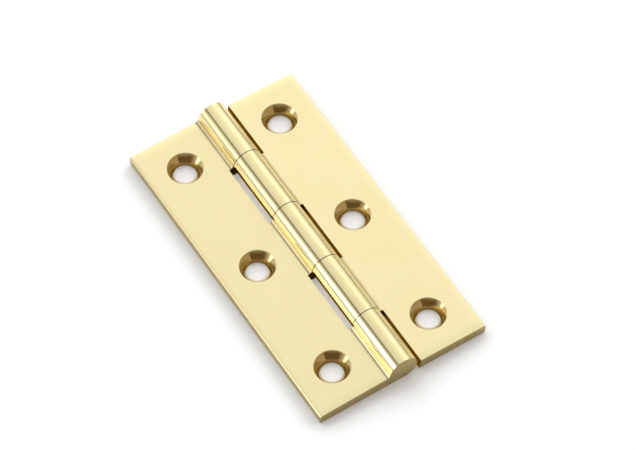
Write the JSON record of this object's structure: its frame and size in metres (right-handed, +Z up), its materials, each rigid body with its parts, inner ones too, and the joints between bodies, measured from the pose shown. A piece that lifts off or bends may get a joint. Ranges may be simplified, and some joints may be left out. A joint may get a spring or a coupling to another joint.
{
  "type": "cabinet butt hinge",
  "caption": "Solid drawn brass butt hinge for cabinet doors, with two countersunk leaves that swing on a fixed pin.",
  "frame": {"origin": "on the plane of the leaves' backs, under the middle of the barrel", "axes": "+Y along the pin, +X out along the swinging leaf, +Z up from the backs to the countersunk faces"},
  "size_m": [0.0348, 0.064, 0.0055],
  "materials": {
    "brass": "satin polished, clear",
    "pin": "plain, ends ground flush"
  },
  "bodies": {
    "fixed_leaf": {"left_leaf": "brass", "hinge_pin": "pin"},
    "swinging_leaf": {"right_leaf": "brass"}
  },
  "joints": [
    {"name": "hinge_pivot", "type": "hinge", "parent": "fixed_leaf", "child": "swinging_leaf", "pos_m": [0, 0, 0.00275], "axis": [0, -1, 0], "range_deg": [-99, 182.6]}
  ]
}
